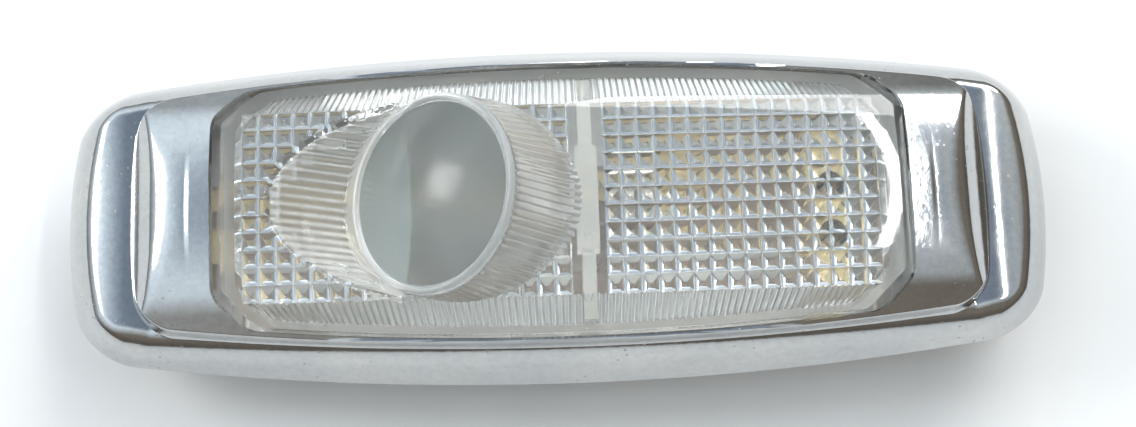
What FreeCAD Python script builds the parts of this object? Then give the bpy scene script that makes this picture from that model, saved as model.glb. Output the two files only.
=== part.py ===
import FreeCAD, Part
import math
import os
import re

import Sketcher

Vector = FreeCAD.Vector

doc = FreeCAD.newDocument("courtesy_light")

# Driving sizes, millimetres and degrees.
# X runs along the lamp, Y across it, Z from the mounting surface up to the lens; the origin is the
# middle of the tray's back.
SIZES = {
    # Bezel
    "lamp_length": 135.0,
    "lamp_width": 47.0,
    "end_taper": 5.1,
    "end_bow": 2.7,
    "corner_radius": 6.0,
    "base_depth": 12.0,
    "roof_height": 9.0,
    "rim_slope": 25.0,
    "rim_wall": 3.6,
    "shell_height": 4.0,
    "crown_radius": 600.0,
    "ledge_length": 9.3,
    "ledge_width": 3.5,
    "bar_taper": 4.0,
    "bar_bow": 1.2,
    "bar_slope": 8.0,
    "bar_corner": 5.0,
    "riser_run": 2.3,
    "riser_drop": 4.9,
    "roll_run": 6.4,
    "roll_radius": 9.0,
    "cheek_wall": 3.2,
    "cheek_ceiling": 7.0,
    "boss_inset": 5.2,
    "boss_pitch": 18.0,
    "boss_radius": 2.6,
    # Face shared by the cheeks and the lens
    "face_height": 26.4,
    "face_radius": 45.0,
    "shoulder_width": 5.5,
    "shoulder_slope": 30.0,
    "cheek_flat": 3.2,
    "sill_width": 1.4,
    "window_bow": 2.25,
    "window_chamfer": 4.2,
    # Lens
    "side_gap": 0.4,
    "end_gap": 1.15,
    "skirt_depth": 3.8,
    "skirt_wall": 1.8,
    "lens_wall": 2.0,
    "prism_pitch": 2.3,
    "prism_depth": 1.1,
    "prism_flat": 0.15,
    "prism_level": 20.8,
    "prism_side": 0.4,
    "prism_margin": 2.55,
    "eye_inset": 26.5,
    "eye_height": 27.0,
    "eye_tilt": 36.0,
    "eye_radius": 12.3,
    "eye_sag": 3.4,
    "eye_depth": 6.0,
    "collar_radius": 13.5,
    "collar_draft": 6.0,
    "collar_depth": 15.0,
    "collar_wall": 1.9,
    "collar_floor": 2.2,
    "scoop_radius": 14.2,
    "scoop_tilt": 55.0,
    "scoop_wall": 1.9,
    "web_gap": 20.6,
    "web_thickness": 1.8,
    "web_notch": 13.6,
    "web_notch_height": 6.0,
    # Rocking pivot
    "pivot_height": 14.6,
    "pin_radius": 1.45,
    "pin_length": 1.45,
    "pin_clearance": 0.05,
    "lug_radius": 2.2,
    "lug_drop": 2.0,
    "rock_angle": 3.5,
    "ear_gap": 0.55,
    "ear_width": 7.0,
    "ear_rim": 1.5,
    "ear_room": 0.4,
    "ear_notch": 1.0,
    # Tray
    "sheet": 0.8,
    "tray_end_gap": 0.3,
    "tray_side_gap": 0.2,
    "tray_corner": 4.0,
    "tray_bend": 1.6,
    "flange_end_gap": 5.9,
    "flange_side_gap": 0.4,
    "flange_taper": 3.0,
    "flange_bow": 1.5,
    "fixing_inset": 10.0,
    "fixing_y": 12.0,
    "fixing_radius": 2.1,
    "slot_room": 0.4,
    # Bulb holder and switch
    "strip_wall": 1.6,
    "strip_width": 16.0,
    "strip_tail": 11.0,
    "strip_margin": 5.0,
    "blade_width": 6.3,
    "blade_wall": 0.8,
    "blade_length": 11.0,
    "blade_gap": 2.0,
    "door_track": 3.0,
    "clip_wall": 0.5,
    "clip_width": 7.0,
    "clip_foot": 7.0,
    "clip_rise": 3.4,
    "rivet_radius": 1.0,
    "rivet_head": 1.7,
    "rivet_head_height": 0.5,
    "rivet_clearance": 0.05,
    "bridge_inset": 10.3,
    "bridge_drop": 0.9,
    "bridge_wall": 0.6,
    "bridge_width": 5.0,
    "bridge_end": 1.8,
    "peg_radius": 1.1,
    "peg_shoulder": 1.9,
    "peg_spacing": 6.4,
    "peg_clearance": 0.05,
    "stud_radius": 1.4,
    "stud_foot": 2.4,
    "stud_foot_height": 0.8,
    "stud_gap": 0.35,
    "earth_y": -11.0,
    # Festoon bulb
    "bulb_x": -3.4,
    "bulb_height": 8.0,
    "bulb_length": 38.0,
    "glass_radius": 5.5,
    "glass_length": 24.0,
    "glass_wall": 0.5,
    "neck_radius": 3.2,
    "neck_length": 2.6,
    "cap_radius": 3.5,
    "cap_overlap": 1.0,
    "cap_clearance": 0.05,
    "cone_length": 2.2,
    "cone_tip": 0.8,
    "filament_radius": 0.2,
    # Screws that hold the bezel on the tray
    "screw_radius": 1.5,
    "screw_clearance": 0.05,
    "screw_reach": 5.0,
    "screw_head_radius": 2.7,
    "screw_head_height": 1.6,
    "screw_slot": 0.7,
}

# Lengths, places and counts that follow from the driving sizes
FOLLOWING = {
    "end_width": "lamp_width - 2 * end_taper",
    "bar_length": "lamp_length - 2 * ledge_length",
    "bar_width": "lamp_width - 2 * ledge_width",
    "bar_end_width": "bar_width - 2 * bar_taper",
    "riser_length": "bar_length - 2 * riser_run",
    "roll_length": "riser_length - 2 * roll_run",
    "window_length": "roll_length - 2 * cheek_flat",
    "window_width": "bar_width - 2 * sill_width",
    "boss_spacing": "window_length + 2 * boss_inset",
    "face_width": "window_width - 2 * shoulder_width",
    "prism_rows": "floor((face_width - 2 * prism_side) / prism_pitch)",
    "prism_columns": "2 * floor((window_length / 2 - prism_margin) / prism_pitch)",
    "eye_x": "eye_inset - prism_columns * prism_pitch / 2",
    "web_x": "eye_x + web_gap",
    "tray_length": "window_length - 2 * tray_end_gap",
    "tray_width": "window_width - 2 * tray_side_gap",
    "flange_length": "lamp_length - 2 * rim_wall - 2 * flange_end_gap",
    "flange_width": "lamp_width - 2 * rim_wall - 2 * flange_side_gap",
    "flange_end_width": "flange_width - 2 * flange_taper",
    "fixing_spacing": "tray_length - 2 * fixing_inset",
    "strip_left": "tray_length / 2 + strip_tail",
    "strip_right": "tray_length / 2 - strip_margin",
    "bridge_x": "window_length / 2 - bridge_inset",
}

sheet = doc.addObject("Spreadsheet::Sheet", "sizes")
cells = {**SIZES, **{alias: "=" + formula for alias, formula in FOLLOWING.items()}}
for row, (alias, content) in enumerate(cells.items(), start=1):
    sheet.set("A%d" % row, alias)
    sheet.setAlias("B%d" % row, alias)
    sheet.set("B%d" % row, str(content))
doc.recompute()


# Formulas that the pieces share
def bind(formula):
    """Turn each size named in a formula into its cell of the sheet."""
    return re.sub(r"[a-z_]+", lambda word: "sizes." + word[0] if word[0] in cells else word[0], formula)


def measure(formula):
    """The present value of a formula."""
    return float(sheet.evalExpression(bind(formula)))


def minus(formula):
    return "-(%s)" % formula


def arc_radius(half_chord, rise):
    """Radius of an arc from half its chord and its rise."""
    return "((%s)^2 + (%s)^2) / (2 * (%s))" % (half_chord, rise, rise)


lens_half_width = "(window_width / 2 - side_gap)"
skirt_bottom = "(base_depth + skirt_depth)"
face_edge_height = "(face_height - face_radius + sqrt(face_radius^2 - (face_width / 2)^2))"
lip_height = "(%s - (%s - face_width / 2) * tan(shoulder_slope))" % (face_edge_height, lens_half_width)
floor_top = "sheet"
strip_top = "(sheet + strip_wall)"
track_top = "(sheet + strip_wall + blade_wall)"
ear_inside = "(%s + ear_gap)" % lens_half_width
bridge_bottom = "(%s - bridge_drop)" % skirt_bottom
stud_top = "(%s - (bridge_x - web_x) * sin(rock_angle) - stud_gap)" % bridge_bottom
door_y = "(strip_width / 2 - door_track / 2 - blade_wall)"
bridge_y = "((%s + earth_y) / 2)" % door_y


# Sketching
def draw_loop(drawing, corners):
    """Close a loop of lines and arcs through corners (x, y) or (x, y, radius of the run that follows).

    A radius with ~ before it is an arc that turns clockwise."""
    points = [Vector(measure(corner[0]), measure(corner[1]), 0) for corner in corners]
    first = drawing.GeometryCount
    ends = []
    for index, corner in enumerate(corners):
        start = points[index]
        finish = points[(index + 1) % len(points)]
        if len(corner) == 2:
            drawing.addGeometry(Part.LineSegment(start, finish), False)
            ends.append((1, 2))
            continue
        radius = measure(corner[2].lstrip("~"))
        clockwise = corner[2].startswith("~")
        low, high = (finish, start) if clockwise else (start, finish)
        half = (high - low) * 0.5
        across = Vector(-half.y, half.x, 0).normalize()
        centre = low + half + across * math.sqrt(radius ** 2 - half.Length ** 2)
        start_angle = math.atan2(low.y - centre.y, low.x - centre.x)
        end_angle = math.atan2(high.y - centre.y, high.x - centre.x)
        circle = Part.Circle(centre, Vector(0, 0, 1), radius)
        drawing.addGeometry(Part.ArcOfCircle(circle, start_angle, end_angle), False)
        ends.append((2, 1) if clockwise else (1, 2))
    for index, corner in enumerate(corners):
        piece = first + index
        following = first + (index + 1) % len(corners)
        joined = ends[(index + 1) % len(corners)][0]
        drawing.addConstraint(Sketcher.Constraint("Coincident", piece, ends[index][1], following, joined))
    for index, corner in enumerate(corners):
        place = (first + index, ends[index][0])
        for kind, formula, number in (("DistanceX", corner[0], points[index].x),
                                      ("DistanceY", corner[1], points[index].y)):
            rule = drawing.addConstraint(Sketcher.Constraint(kind, -1, 1, place[0], place[1], number))
            drawing.setExpression("Constraints[%d]" % rule, bind(formula))
        if len(corner) == 3:
            formula = corner[2].lstrip("~")
            rule = drawing.addConstraint(Sketcher.Constraint("Radius", place[0], measure(formula)))
            drawing.setExpression("Constraints[%d]" % rule, bind(formula))


def draw_circle(drawing, x, y, radius):
    """A full circle with its centre and radius bound to formulas."""
    centre = Vector(measure(x), measure(y), 0)
    piece = drawing.addGeometry(Part.Circle(centre, Vector(0, 0, 1), measure(radius)), False)
    for kind, formula in (("DistanceX", x), ("DistanceY", y)):
        rule = drawing.addConstraint(Sketcher.Constraint(kind, -1, 1, piece, 3, measure(formula)))
        drawing.setExpression("Constraints[%d]" % rule, bind(formula))
    rule = drawing.addConstraint(Sketcher.Constraint("Radius", piece, measure(radius)))
    drawing.setExpression("Constraints[%d]" % rule, bind(radius))


def sketch(body, name, plane, loops=(), circles=(), lift="0", origin=("0", "0"), turn="0"):
    """A sketch on one of the body's own planes, shifted and turned within that plane."""
    drawing = body.newObject("Sketcher::SketchObject", name)
    support = next(item for item in body.Origin.OriginFeatures if item.Role == plane)
    drawing.AttachmentSupport = [(support, "")]
    drawing.MapMode = "FlatFace"
    drawing.AttachmentOffset = FreeCAD.Placement(
        Vector(measure(origin[0]), measure(origin[1]), measure(lift)),
        FreeCAD.Rotation(Vector(0, 0, 1), measure(turn)))
    for field, formula in (("Base.x", origin[0]), ("Base.y", origin[1]), ("Base.z", lift),
                           ("Rotation.Angle", turn)):
        drawing.setExpression("AttachmentOffset." + field, bind(formula))
    for corners in loops:
        draw_loop(drawing, corners)
    for x, y, radius in circles:
        draw_circle(drawing, x, y, radius)
    doc.recompute()
    return drawing


def rectangle(left, bottom, right, top):
    return [(left, bottom), (right, bottom), (right, top), (left, top)]


def rounded_rectangle(half_x, half_y, radius):
    """Rectangle about the origin with a round at each corner."""
    x = "(%s)" % half_x
    y = "(%s)" % half_y
    straight_x = "(%s - (%s))" % (x, radius)
    straight_y = "(%s - (%s))" % (y, radius)
    return [(x, minus(straight_y)), (x, straight_y, radius), (straight_x, y), (minus(straight_x), y, radius),
            (minus(x), straight_y), (minus(x), minus(straight_y), radius), (minus(straight_x), minus(y)),
            (straight_x, minus(y), radius)]


def bowed_outline(length, width, end_width, bow):
    """Boat-shaped outline with two bowed sides and two bowed ends."""
    x = "((%s) / 2 - (%s))" % (length, bow)
    y = "((%s) / 2)" % end_width
    end = arc_radius(y, bow)
    side = arc_radius(x, "((%s) - (%s)) / 2" % (width, end_width))
    return [(x, minus(y), end), (x, y, side), (minus(x), y, end), (minus(x), minus(y), side)]


def window_outline(side_inset, end_inset):
    """Window of the bezel, bowed at the sides and cut off at the corners, drawn in by two insets."""
    end_x = "(window_length / 2 - (%s))" % end_inset
    side_x = "(window_length / 2 - window_chamfer - (%s) / 2)" % side_inset
    side_y = "(window_width / 2 - window_bow - (%s))" % side_inset
    end_y = "(%s - (%s - %s))" % (side_y, end_x, side_x)
    side = arc_radius(side_x, "window_bow")
    return [(end_x, minus(end_y)), (end_x, end_y), (side_x, side_y, side), (minus(side_x), side_y),
            (minus(end_x), end_y), (minus(end_x), minus(end_y)), (minus(side_x), minus(side_y), side),
            (side_x, minus(side_y))]


# Features
def new_body(name):
    return doc.addObject("PartDesign::Body", name)


def add(body, kind, drawing, **formulas):
    """Add a PartDesign feature made from a sketch, with its sizes bound to formulas."""
    feature = body.newObject("PartDesign::" + kind, "%s_%s" % (drawing.Name, kind.lower()))
    feature.Profile = drawing
    for field, formula in formulas.items():
        feature.setExpression(field, bind(formula))
    return feature


def pad(body, drawing, length, taper=None, backwards=False):
    feature = add(body, "Pad", drawing, Length=length)
    if taper:
        feature.setExpression("TaperAngle", bind(taper))
    feature.Reversed = backwards
    doc.recompute()
    return feature


def pocket(body, drawing, length=None, backwards=False):
    """Cut a sketch to a depth, or right through both ways where no depth is given."""
    before = body.Shape.Volume
    feature = add(body, "Pocket", drawing)
    if length is None:
        feature.Type = "ThroughAll"
        feature.SideType = "Symmetric"
    else:
        feature.setExpression("Length", bind(length))
        feature.Reversed = backwards
    doc.recompute()
    if body.Shape.Volume >= before:
        raise ValueError(feature.Name + " cuts nothing")
    return feature


def revolve(body, drawing, axis):
    feature = add(body, "Revolution", drawing)
    feature.ReferenceAxis = (drawing, [axis])
    feature.Angle = 360
    doc.recompute()
    return feature


def fillet(body, radius, wanted):
    """Round the edges of the body's tip that pass a test of their middle point and bounds."""
    base = body.Tip
    names = []
    for number, edge in enumerate(base.Shape.Edges, start=1):
        if wanted(edge):
            names.append("Edge%d" % number)
    feature = body.newObject("PartDesign::Fillet", "%s_fillet" % base.Name)
    feature.Base = (base, names)
    feature.setExpression("Radius", bind(radius))
    doc.recompute()
    return feature


def mirror(body, originals, plane):
    """Mirror features of a body in one of its own planes."""
    feature = body.newObject("PartDesign::Mirrored", "%s_mirrored" % originals[-1].Name)
    feature.Originals = originals
    feature.MirrorPlane = (next(item for item in body.Origin.OriginFeatures if item.Role == plane), [""])
    body.Tip = feature
    doc.recompute()
    return feature


def pattern(body, original, axis, length, occurrences):
    """Repeat a feature in a row along one of the body's own axes."""
    feature = body.newObject("PartDesign::LinearPattern", "%s_row" % original.Name)
    feature.Originals = [original]
    feature.Direction = (next(item for item in body.Origin.OriginFeatures if item.Role == axis), [""])
    feature.setExpression("Length", bind(length))
    feature.setExpression("Occurrences", bind(occurrences))
    body.Tip = feature
    doc.recompute()
    return feature


def upright(edge):
    """True for an edge that climbs in Z more than it runs sideways."""
    box = edge.BoundBox
    return box.ZLength > max(box.XLength, box.YLength)


def boolean(kind, name, *shapes):
    """A Part boolean of the shapes given."""
    result = doc.addObject("Part::" + kind, name)
    if kind == "MultiFuse":
        result.Shapes = list(shapes)
    else:
        result.Base, result.Tool = shapes
    doc.recompute()
    return result


def group(name, *shapes):
    """Separate solids kept together in one sub-part."""
    result = doc.addObject("Part::Compound", name)
    result.Links = list(shapes)
    doc.recompute()
    return result


def place(piece, x, y, z, turn=None):
    """Bind the place of a piece to formulas, with a turn about Z."""
    if turn:
        piece.Placement = FreeCAD.Placement(Vector(), FreeCAD.Rotation(Vector(0, 0, 1), turn))
    for field, formula in (("x", x), ("y", y), ("z", z)):
        piece.setExpression("Placement.Base." + field, bind(formula))
    doc.recompute()


def shape_face(body, name, lowered="0"):
    """Cut the body down to the crowned face: a dome with two sloping shoulders, swept on a wide arc."""
    far = "lamp_width"
    top = "(face_height + lamp_width)"
    edge_y = "(face_width / 2)"
    edge_z = "(%s - (%s))" % (face_edge_height, lowered)
    lip_z = "(%s - (%s))" % (lip_height, lowered)
    profile = [(minus(far), lip_z), (minus(lens_half_width), lip_z),
               (minus(edge_y), edge_z, "~face_radius"), (edge_y, edge_z),
               (lens_half_width, lip_z), (far, lip_z), (far, top), (minus(far), top)]
    drawing = sketch(body, name, "YZ_Plane", [profile])
    axis_z = "face_height - crown_radius"
    line = drawing.addGeometry(Part.LineSegment(Vector(0, measure(axis_z), 0),
                                                Vector(measure(far), measure(axis_z), 0)), True)
    for end, formula in ((1, "0"), (2, far)):
        rule = drawing.addConstraint(Sketcher.Constraint("DistanceX", -1, 1, line, end, measure(formula)))
        drawing.setExpression("Constraints[%d]" % rule, bind(formula))
        rule = drawing.addConstraint(Sketcher.Constraint("DistanceY", -1, 1, line, end, measure(axis_z)))
        drawing.setExpression("Constraints[%d]" % rule, bind(axis_z))
    before = body.Shape.Volume
    feature = add(body, "Groove", drawing, Angle="4 * asin(lamp_length / 2 / crown_radius)")
    feature.ReferenceAxis = (drawing, ["Axis0"])
    feature.Midplane = True
    doc.recompute()
    if body.Shape.Volume >= before:
        raise ValueError(feature.Name + " cuts nothing")
    return feature


# Bezel: a die casting with a bevelled rim, a ledge at each end and two rolled cheeks beside the window
bezel = new_body("bezel")
rim = sketch(bezel, "rim_outline", "XY_Plane",
             [bowed_outline("lamp_length", "lamp_width", "end_width", "end_bow")], lift="base_depth")
pad(bezel, rim, "roof_height", taper="-rim_slope")
fillet(bezel, "corner_radius", upright)

roof_drop = "((lamp_length / 2)^2 / (2 * crown_radius))"
roof_x = "sqrt(2 * crown_radius * %s - %s^2)" % (roof_drop, roof_drop)
roof_z = "(base_depth + roof_height)"
roof = sketch(bezel, "roof_crown", "XZ_Plane", [[
    (minus(roof_x), "%s - %s" % (roof_z, roof_drop), "~crown_radius"),
    (roof_x, "%s - %s" % (roof_z, roof_drop)),
    (roof_x, "%s + roof_height" % roof_z),
    (minus(roof_x), "%s + roof_height" % roof_z)]])
pocket(bezel, roof)

bar = sketch(bezel, "bar_outline", "XY_Plane",
             [bowed_outline("bar_length", "bar_width", "bar_end_width", "bar_bow")],
             lift="base_depth + shell_height")
pad(bezel, bar, "face_height - base_depth", taper="-bar_slope")
bar_top = measure("face_height + shell_height")


def bar_corner_edge(edge):
    return upright(edge) and edge.BoundBox.ZMax > bar_top - 1e-3


fillet(bezel, "bar_corner", bar_corner_edge)
shape_face(bezel, "cheek_face")

roll_x = "(roll_length / 2)"
roll_z = "(face_height - crown_radius + sqrt(crown_radius^2 - %s^2))" % roll_x
riser_x = "(riser_length / 2)"
riser_z = "(face_height - riser_drop)"
crease_x = "(bar_length / 2)"
crease_z = "(%s - crown_radius + sqrt(crown_radius^2 - %s^2))" % (roof_z, crease_x)
beyond = "(lamp_length / 2)"
roll = sketch(bezel, "cheek_roll", "XZ_Plane", [[
    (roll_x, roll_z, "~roll_radius"), (riser_x, riser_z), (crease_x, crease_z), (beyond, crease_z),
    (beyond, "face_height + roll_radius"), (roll_x, "face_height + roll_radius")]])
mirror(bezel, [pocket(bezel, roll)], "YZ_Plane")

window = sketch(bezel, "window_outline", "XY_Plane", [window_outline("0", "0")])
pocket(bezel, window)

rim_hollow = sketch(bezel, "rim_hollow", "XY_Plane", [bowed_outline(
    "lamp_length - 2 * rim_wall", "lamp_width - 2 * rim_wall", "end_width - 2 * rim_wall", "end_bow")],
    lift="base_depth")
pocket(bezel, rim_hollow, "shell_height", backwards=True)
cheek_hollow = sketch(bezel, "cheek_hollow", "XY_Plane", [bowed_outline(
    "riser_length - 2 * cheek_wall", "bar_width - 2 * cheek_wall", "bar_end_width - 2 * cheek_wall",
    "bar_bow")], lift="base_depth")
pocket(bezel, cheek_hollow, "cheek_ceiling", backwards=True)

boss_places = [("%s * boss_spacing / 2" % x, "%s * boss_pitch / 2" % y) for x in (-1, 1) for y in (-1, 1)]
bosses = sketch(bezel, "boss_circles", "XY_Plane",
                circles=[(x, y, "boss_radius") for x, y in boss_places], lift="base_depth")
pad(bezel, bosses, "cheek_ceiling + cheek_wall / 2")
boss_bores = sketch(bezel, "boss_bores", "XY_Plane",
                    circles=[(x, y, "screw_radius + screw_clearance") for x, y in boss_places],
                    lift="base_depth")
pocket(bezel, boss_bores, "screw_reach + screw_radius", backwards=True)

ear_top = "(pivot_height + pin_radius + pin_clearance + ear_rim)"
ear_notches = sketch(bezel, "ear_notches", "XY_Plane", [
    rectangle("web_x - ear_width / 2 - ear_room", "window_width / 2 - ear_notch",
              "web_x + ear_width / 2 + ear_room", "%s + sheet + ear_room" % ear_inside),
    rectangle("web_x - ear_width / 2 - ear_room", minus("%s + sheet + ear_room" % ear_inside),
              "web_x + ear_width / 2 + ear_room", minus("window_width / 2 - ear_notch"))],
    lift="base_depth")
pocket(bezel, ear_notches, "%s + ear_room - base_depth" % ear_top, backwards=True)


# Lens: one clear moulding with prisms inside, a tilted bull's-eye in a collar and a scoop before it
def lens_block(name, side_inset, end_inset, lowered, bottom):
    """Bar with the lens's plan and crowned face."""
    body = new_body(name)
    plan = sketch(body, name + "_plan", "XY_Plane",
                  [window_outline("side_gap + " + side_inset, "end_gap + " + end_inset)], lift=bottom)
    pad(body, plan, "face_height + face_radius - (%s)" % bottom)
    shape_face(body, name + "_face", lowered)
    return body


eye_place = ("eye_x", "eye_height")


def eye_turning(name, corners, origin=eye_place, turn="eye_tilt"):
    """Turn a half profile about the bull's-eye's own tilted axis."""
    body = new_body(name)
    drawing = sketch(body, name + "_profile", "XZ_Plane", [corners], origin=origin, turn=turn)
    revolve(body, drawing, "V_Axis")
    return body


def scoop_turning(name, radius, behind):
    """Tilted cylinder of the scoop, kept only where it lies before a plane behind the bull's-eye."""
    reach = "(3 * scoop_radius)"
    body = eye_turning(name, rectangle("0", "-2 * scoop_radius", radius, reach), turn="scoop_tilt")
    back = sketch(body, name + "_back", "XZ_Plane",
                  [rectangle(minus(reach), minus(reach), reach, minus(behind))],
                  origin=eye_place, turn="eye_tilt")
    pocket(body, back)
    return body


def collar_wall_at(depth):
    return "collar_radius + (%s) * tan(collar_draft)" % depth


block = lens_block("lens_block", "0", "0", "0", skirt_bottom)
collar = eye_turning("lens_collar", [
    ("0", "-collar_depth"), (collar_wall_at("collar_depth"), "-collar_depth"), ("collar_radius", "0"),
    ("0", "0")])
collar_trim = sketch(collar, "collar_trim", "XZ_Plane", [rectangle(
    "-lamp_length", "-lamp_length", "lamp_length", "base_depth + collar_floor")])
pocket(collar, collar_trim)
eye_cap = eye_turning("lens_eye", [
    ("0", "0"), ("eye_radius", "0", arc_radius("eye_radius", "eye_sag")), ("0", "eye_sag")])
scoop = scoop_turning("lens_scoop", "scoop_radius", "0")
lens_outside = boolean("MultiFuse", "lens_outside", boolean(
    "Cut", "lens_scooped", boolean("MultiFuse", "lens_raised", block, collar), scoop), eye_cap)

cavity = lens_block("lens_cavity", "skirt_wall", "skirt_wall", "lens_wall", "base_depth")
eye_slab = eye_turning("lens_eye_slab", [
    ("0", "-eye_depth"), (collar_wall_at("eye_depth"), "-eye_depth"), ("collar_radius", "0"), ("0", "0")])
scoop_shell = scoop_turning("lens_scoop_shell", "scoop_radius + scoop_wall", "eye_depth")
eye_bore = eye_turning("lens_eye_bore", rectangle(
    "0", "-collar_depth", "collar_radius - collar_wall", "-eye_depth"))

prism_half_x = "(prism_columns * prism_pitch / 2)"
prism_half_y = "(prism_rows * prism_pitch / 2)"
prism_tip = "(prism_level - prism_depth)"
groove_half = "((prism_pitch - prism_flat) / 2)"


def prism_ridges(name, plane, half_run, axis, count):
    """Flat bar with a row of V grooves across its underside."""
    body = new_body(name)
    plan = sketch(body, name + "_plan", "XY_Plane", [rectangle(
        minus(prism_half_x), minus(prism_half_y), prism_half_x, prism_half_y)], lift=prism_tip)
    pad(body, plan, "face_height - %s" % prism_tip)
    groove = sketch(body, name + "_groove", plane, [[
        ("-%s - %s" % (half_run, groove_half), prism_tip),
        ("-%s + %s" % (half_run, groove_half), prism_tip),
        ("-%s" % half_run, "prism_level")]])
    pattern(body, pocket(body, groove), axis, "2 * %s" % half_run, "%s + 1" % count)
    return body


prisms = boolean("Common", "lens_prisms",
                 prism_ridges("prism_row_bar", "YZ_Plane", prism_half_y, "Y_Axis", "prism_rows"),
                 prism_ridges("prism_column_bar", "XZ_Plane", prism_half_x, "X_Axis", "prism_columns"))

web = new_body("lens_web")
web_y = "(%s)" % lens_half_width
notch_y = "(web_notch / 2)"
notch_top = "(base_depth + web_notch_height)"
web_profile = sketch(web, "web_profile", "YZ_Plane", [[
    (minus(web_y), "base_depth"), (minus(notch_y), "base_depth"), (minus(notch_y), notch_top),
    (notch_y, notch_top), (notch_y, "base_depth"), (web_y, "base_depth"), (web_y, "face_height"),
    (minus(web_y), "face_height")]], lift="web_x - web_thickness / 2")
pad(web, web_profile, "web_thickness")

lens_hollow = boolean("Cut", "lens_hollow", cavity, boolean(
    "MultiFuse", "lens_inner_forms", eye_slab, scoop_shell, prisms, web))
lens_shell = boolean("Cut", "lens_shell", boolean("Cut", "lens_hollowed", lens_outside, lens_hollow),
                     eye_bore)

trunnions = new_body("lens_trunnions")
lug_outside = "(%s - side_gap / 4)" % lens_half_width
lug = sketch(trunnions, "lug_outline", "XZ_Plane", [[
    ("web_x - lug_radius", "pivot_height", arc_radius("lug_radius", "lug_drop")),
    ("web_x + lug_radius", "pivot_height"),
    ("web_x + lug_radius", "%s + skirt_wall" % skirt_bottom),
    ("web_x - lug_radius", "%s + skirt_wall" % skirt_bottom)]], lift=minus(lug_outside))
lug_pad = pad(trunnions, lug, "skirt_wall")
pin = sketch(trunnions, "pin_circle", "XZ_Plane", circles=[("web_x", "pivot_height", "pin_radius")],
             lift=minus("%s + pin_length" % lens_half_width))
pin_pad = pad(trunnions, pin, "pin_length + skirt_wall / 2")
mirror(trunnions, [lug_pad, pin_pad], "XZ_Plane")

peg_places = [("bridge_x", "%s + %s * peg_spacing / 2" % (bridge_y, side)) for side in (-1, 1)]
pegs = new_body("lens_pegs")
peg_shoulders = sketch(pegs, "peg_shoulders", "XY_Plane",
                       circles=[(x, y, "peg_shoulder") for x, y in peg_places],
                       lift="%s + bridge_wall" % bridge_bottom)
peg_tips = sketch(pegs, "peg_tips", "XY_Plane", circles=[(x, y, "peg_radius") for x, y in peg_places],
                  lift="%s - bridge_wall" % bridge_bottom)
pad(pegs, peg_shoulders, "prism_level + prism_depth - %s" % bridge_bottom)
pad(pegs, peg_tips, "3 * bridge_wall")
lens = boolean("MultiFuse", "lens", lens_shell, trunnions, pegs)

# Base tray: one steel pressing with a flange, ears for the lens's trunnions and a slot for the strip
tray = new_body("base_tray")
tray_x = "(tray_length / 2)"
tray_y = "(tray_width / 2)"
pan = sketch(tray, "pan_outline", "XY_Plane", [rounded_rectangle(tray_x, tray_y, "tray_corner")])
pad(tray, pan, "base_depth")


def pan_bend_edge(edge):
    return edge.BoundBox.ZMax < 1e-3


fillet(tray, "tray_bend", pan_bend_edge)
pan_block = tray.Tip
pan_heights = [face.CenterOfMass.z for face in pan_block.Shape.Faces]
pan_mouth = "Face%d" % (pan_heights.index(max(pan_heights)) + 1)
pan_wall = tray.newObject("PartDesign::Thickness", "pan_wall")
pan_wall.Base = (pan_block, [pan_mouth])
pan_wall.setExpression("Value", bind("sheet"))
pan_wall.Reversed = True
doc.recompute()
flange = sketch(tray, "flange_outline", "XY_Plane", [
    bowed_outline("flange_length", "flange_width", "flange_end_width", "flange_bow"),
    rounded_rectangle("%s - sheet" % tray_x, "%s - sheet" % tray_y, "tray_corner - sheet")],
    lift="base_depth - sheet")
pad(tray, flange, "sheet")

ear = sketch(tray, "ear_outline", "XZ_Plane", [[
    ("web_x - ear_width / 2", "base_depth - sheet / 2"), ("web_x + ear_width / 2", "base_depth - sheet / 2"),
    ("web_x + ear_width / 2", "pivot_height", arc_radius("ear_width / 2", "(%s - pivot_height)" % ear_top)),
    ("web_x - ear_width / 2", "pivot_height")]], lift=minus("%s + sheet" % ear_inside))
ear_pad = pad(tray, ear, "sheet")
mirror(tray, [ear_pad], "XZ_Plane")
ear_bores = sketch(tray, "ear_bores", "XZ_Plane",
                   circles=[("web_x", "pivot_height", "pin_radius + pin_clearance")])
pocket(tray, ear_bores)
holes = [("%s * fixing_spacing / 2" % side, "fixing_y", "fixing_radius") for side in (-1, 1)]
floor_holes = sketch(tray, "floor_holes", "XY_Plane", circles=holes, lift="base_depth / 2")
pocket(tray, floor_holes, "base_depth")
screw_holes = sketch(tray, "screw_holes", "XY_Plane", circles=[
    (x, y, "screw_radius + 2 * screw_clearance") for x, y in boss_places], lift="base_depth")
pocket(tray, screw_holes, "2 * sheet")
slot_y = "(strip_width / 2 + slot_room)"
strip_slot = sketch(tray, "strip_slot", "YZ_Plane", [rectangle(
    minus(slot_y), floor_top, slot_y, "%s + 2 * slot_room" % track_top)],
    lift="2 * tray_bend - tray_length / 2")
pocket(tray, strip_slot, "4 * tray_bend")

# Insulator strip: a laminate board through the slot of the tray that carries the live pieces
strip = new_body("insulator_strip")
strip_y = "(strip_width / 2)"
board = sketch(strip, "board_outline", "XY_Plane", [rectangle(
    "-strip_left", minus(strip_y), "strip_right", strip_y)], lift=floor_top)
pad(strip, board, "strip_wall")

clip_left_x = "(bulb_x - bulb_length / 2 + cone_length / 2)"
clip_right_x = "(bulb_x + bulb_length / 2 - cone_length / 2)"
feed_rivets = [("%s - clip_foot / 2" % clip_left_x, "0")]
door_rivets = [("%s + clip_foot / 2" % clip_right_x, "0")]
rivet_places = feed_rivets + door_rivets


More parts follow.
